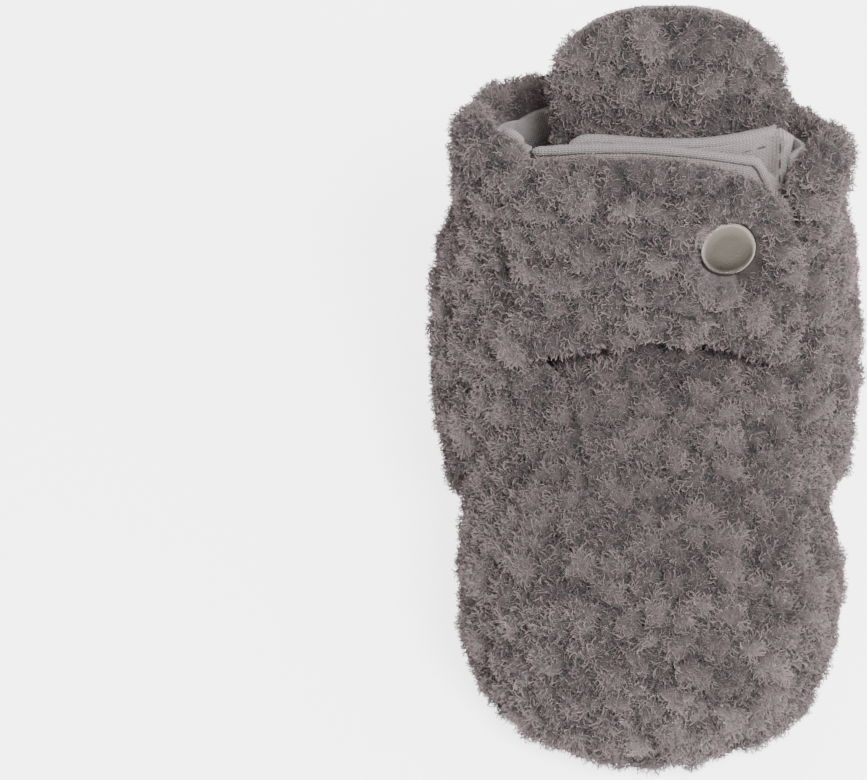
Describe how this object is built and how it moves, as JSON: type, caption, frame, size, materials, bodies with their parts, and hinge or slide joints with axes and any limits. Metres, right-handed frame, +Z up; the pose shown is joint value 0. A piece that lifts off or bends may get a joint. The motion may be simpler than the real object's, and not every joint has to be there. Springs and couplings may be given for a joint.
{
  "type": "baby bootie",
  "caption": "Soft fleece baby bootie for the left foot, with a padded sole, a tongue, and an ankle strap that snaps to a knit under-flap.",
  "frame": {"origin": "middle of the bootie's bounding box, on the ground", "axes": "+Z up, -Y towards the toe, +X towards the side where the strap snaps"},
  "size_m": [0.0722, 0.1178, 0.0968],
  "materials": {
    "fleece": "curled grey-taupe fleece pile",
    "knit": "fine jersey knit, matt",
    "sole_cloth": "woven sole cloth, matt",
    "wadding": "white wadding and stiffener",
    "elastic": "white woven elastic",
    "nickel": "satin nickel"
  },
  "bodies": {
    "shoe": {"outsole": "sole_cloth", "sole_padding": "wadding", "insole_lining": "knit", "vamp_fleece": "fleece", "vamp_lining": "knit", "quarter_fleece": "fleece", "quarter_lining": "knit", "ankle_elastic": "elastic"},
    "strap": {"strap_fleece": "fleece", "strap_interfacing": "wadding", "strap_lining": "knit", "snap_cap": "nickel", "snap_socket": "nickel"},
    "underflap": {"underflap_face": "knit", "underflap_interfacing": "wadding", "underflap_lining": "knit", "snap_stud": "nickel", "snap_ring": "nickel"},
    "tongue": {"tongue_fleece": "fleece", "tongue_lining": "knit"}
  },
  "joints": [
    {"name": "strap_hinge", "type": "hinge", "parent": "shoe", "child": "strap", "pos_m": [-0.0271, 0.0079, 0.058], "axis": [0, -0.4179, -0.9085], "range_deg": [0, 150]},
    {"name": "underflap_hinge", "type": "hinge", "parent": "shoe", "child": "underflap", "pos_m": [0.0264, 0.0126, 0.058], "axis": [0, 0.4179, 0.9085], "range_deg": [0, 45]},
    {"name": "tongue_hinge", "type": "hinge", "parent": "shoe", "child": "tongue", "pos_m": [0, 0.0095, 0.0457], "axis": [-1, 0, 0], "range_deg": [0, 7]}
  ],
  "couplings": [
    {"joint": "underflap_hinge", "follows": "strap_hinge", "ratio": 0.3}
  ]
}
